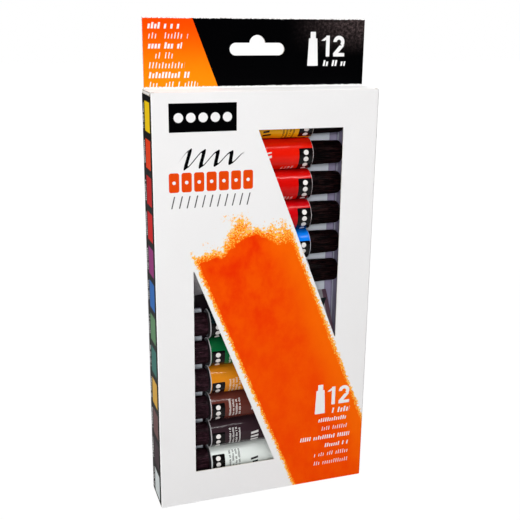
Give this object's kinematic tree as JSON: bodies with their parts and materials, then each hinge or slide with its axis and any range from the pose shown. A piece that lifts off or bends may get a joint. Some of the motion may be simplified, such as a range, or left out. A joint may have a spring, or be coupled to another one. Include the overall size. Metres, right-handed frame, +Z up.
{
  "type": "paint set box",
  "caption": "Hanging folding-board box of gouache paint with a header and hang slot, two slanted windows, a formed tray and a stack of screw-capped aluminium tubes.",
  "frame": {"origin": "middle of the carton's foot, where the closed bottom lid stands", "axes": "+Z up towards the hang slot, -Y out of the window panel, +X to the right as seen from the front"},
  "size_m": [0.115, 0.021, 0.249],
  "materials": {
    "carton_board": "coated board, printed, satin",
    "tray_plastic": "vacuum-formed sheet, soft sheen",
    "cap_plastic": "black moulded plastic with fine flutes",
    "enamel_yellow": "gloss enamel on thin aluminium",
    "enamel_orange_red": "gloss enamel on thin aluminium",
    "enamel_red": "gloss enamel on thin aluminium",
    "enamel_carmine": "gloss enamel on thin aluminium",
    "enamel_blue": "gloss enamel on thin aluminium",
    "enamel_violet": "gloss enamel on thin aluminium",
    "enamel_teal": "gloss enamel on thin aluminium",
    "enamel_green": "gloss enamel on thin aluminium",
    "enamel_ochre": "gloss enamel on thin aluminium",
    "enamel_brown": "gloss enamel on thin aluminium",
    "enamel_black": "gloss enamel on thin aluminium",
    "enamel_white": "gloss enamel on thin aluminium",
    "paint_yellow": "wet paint inside the tube",
    "paint_orange_red": "wet paint inside the tube",
    "paint_red": "wet paint inside the tube",
    "paint_carmine": "wet paint inside the tube",
    "paint_blue": "wet paint inside the tube",
    "paint_violet": "wet paint inside the tube",
    "paint_teal": "wet paint inside the tube",
    "paint_green": "wet paint inside the tube",
    "paint_ochre": "wet paint inside the tube",
    "paint_brown": "wet paint inside the tube",
    "paint_black": "wet paint inside the tube",
    "paint_white": "wet paint inside the tube"
  },
  "bodies": {
    "carton": {"front_panel": "carton_board", "left_side_panel": "carton_board", "right_side_panel": "carton_board", "glue_flap": "carton_board", "back_panel": "carton_board", "header_rear_layer": "carton_board", "header_front_layer": "carton_board", "top_dust_flap_left": "carton_board", "top_dust_flap_right": "carton_board", "bottom_dust_flap_left": "carton_board", "bottom_dust_flap_right": "carton_board", "tray": "tray_plastic", "tube_01_yellow": "enamel_yellow", "tube_02_orange_red": "enamel_orange_red", "tube_03_red": "enamel_red", "tube_04_carmine": "enamel_carmine", "tube_05_blue": "enamel_blue", "tube_06_violet": "enamel_violet", "tube_07_teal": "enamel_teal", "tube_08_green": "enamel_green", "tube_09_ochre": "enamel_ochre", "tube_10_brown": "enamel_brown", "tube_11_black": "enamel_black", "tube_12_white": "enamel_white", "paint_01_yellow": "paint_yellow", "paint_02_orange_red": "paint_orange_red", "paint_03_red": "paint_red", "paint_04_carmine": "paint_carmine", "paint_05_blue": "paint_blue", "paint_06_violet": "paint_violet", "paint_07_teal": "paint_teal", "paint_08_green": "paint_green", "paint_09_ochre": "paint_ochre", "paint_10_brown": "paint_brown", "paint_11_black": "paint_black", "paint_12_white": "paint_white"},
    "top_lid": {"top_lid": "carton_board"},
    "top_tuck": {"top_tuck_flap": "carton_board"},
    "bottom_lid": {"bottom_lid": "carton_board"},
    "bottom_tuck": {"bottom_tuck_flap": "carton_board"},
    "cap_01_yellow": {"cap_01_yellow": "cap_plastic"},
    "cap_02_orange_red": {"cap_02_orange_red": "cap_plastic"},
    "cap_03_red": {"cap_03_red": "cap_plastic"},
    "cap_04_carmine": {"cap_04_carmine": "cap_plastic"},
    "cap_05_blue": {"cap_05_blue": "cap_plastic"},
    "cap_06_violet": {"cap_06_violet": "cap_plastic"},
    "cap_07_teal": {"cap_07_teal": "cap_plastic"},
    "cap_08_green": {"cap_08_green": "cap_plastic"},
    "cap_09_ochre": {"cap_09_ochre": "cap_plastic"},
    "cap_10_brown": {"cap_10_brown": "cap_plastic"},
    "cap_11_black": {"cap_11_black": "cap_plastic"},
    "cap_12_white": {"cap_12_white": "cap_plastic"}
  },
  "joints": [
    {"name": "top_lid_crease", "type": "hinge", "parent": "carton", "child": "top_lid", "pos_m": [0, 0.00912, 0.21575], "axis": [-1, 0, 0], "range_deg": [0, 85]},
    {"name": "top_tuck_crease", "type": "hinge", "parent": "top_lid", "child": "top_tuck", "pos_m": [0, -0.00932, 0.21575], "axis": [1, 0, 0], "range_deg": [0, 64]},
    {"name": "bottom_lid_crease", "type": "hinge", "parent": "carton", "child": "bottom_lid", "pos_m": [0, 0.01022, 0.00025], "axis": [1, 0, 0], "range_deg": [0, 90]},
    {"name": "bottom_tuck_crease", "type": "hinge", "parent": "bottom_lid", "child": "bottom_tuck", "pos_m": [0, -0.00932, 0.00025], "axis": [-1, 0, 0], "range_deg": [0, 67.75]},
    {"name": "cap_01_yellow_turn", "type": "hinge", "parent": "carton", "child": "cap_01_yellow", "pos_m": [0.03402, 0.00093, 0.19945], "axis": [1, 0, 0], "range_deg": [0, 180]},
    {"name": "cap_02_orange_red_turn", "type": "hinge", "parent": "carton", "child": "cap_02_orange_red", "pos_m": [0.03402, 0.00093, 0.1837], "axis": [1, 0, 0], "range_deg": [0, 180]},
    {"name": "cap_03_red_turn", "type": "hinge", "parent": "carton", "child": "cap_03_red", "pos_m": [0.03402, 0.00093, 0.16795], "axis": [1, 0, 0], "range_deg": [0, 180]},
    {"name": "cap_04_carmine_turn", "type": "hinge", "parent": "carton", "child": "cap_04_carmine", "pos_m": [0.03402, 0.00093, 0.1522], "axis": [1, 0, 0], "range_deg": [0, 180]},
    {"name": "cap_05_blue_turn", "type": "hinge", "parent": "carton", "child": "cap_05_blue", "pos_m": [0.03402, 0.00093, 0.13645], "axis": [1, 0, 0], "range_deg": [0, 180]},
    {"name": "cap_06_violet_turn", "type": "hinge", "parent": "carton", "child": "cap_06_violet", "pos_m": [0.03402, 0.00093, 0.1207], "axis": [1, 0, 0], "range_deg": [0, 180]},
    {"name": "cap_07_teal_turn", "type": "hinge", "parent": "carton", "child": "cap_07_teal", "pos_m": [-0.03803, 0.00093, 0.0971], "axis": [-1, 0, 0], "range_deg": [0, 180]},
    {"name": "cap_08_green_turn", "type": "hinge", "parent": "carton", "child": "cap_08_green", "pos_m": [-0.03803, 0.00093, 0.08135], "axis": [-1, 0, 0], "range_deg": [0, 180]},
    {"name": "cap_09_ochre_turn", "type": "hinge", "parent": "carton", "child": "cap_09_ochre", "pos_m": [-0.03803, 0.00093, 0.0656], "axis": [-1, 0, 0], "range_deg": [0, 180]},
    {"name": "cap_10_brown_turn", "type": "hinge", "parent": "carton", "child": "cap_10_brown", "pos_m": [-0.03803, 0.00093, 0.04985], "axis": [-1, 0, 0], "range_deg": [0, 180]},
    {"name": "cap_11_black_turn", "type": "hinge", "parent": "carton", "child": "cap_11_black", "pos_m": [-0.03803, 0.00093, 0.0341], "axis": [-1, 0, 0], "range_deg": [0, 180]},
    {"name": "cap_12_white_turn", "type": "hinge", "parent": "carton", "child": "cap_12_white", "pos_m": [-0.03803, 0.00093, 0.01835], "axis": [-1, 0, 0], "range_deg": [0, 180]}
  ],
  "couplings": [
    {"joint": "top_tuck_crease", "follows": "top_lid_crease", "ratio": 0.75},
    {"joint": "bottom_tuck_crease", "follows": "bottom_lid_crease", "ratio": 0.75}
  ]
}
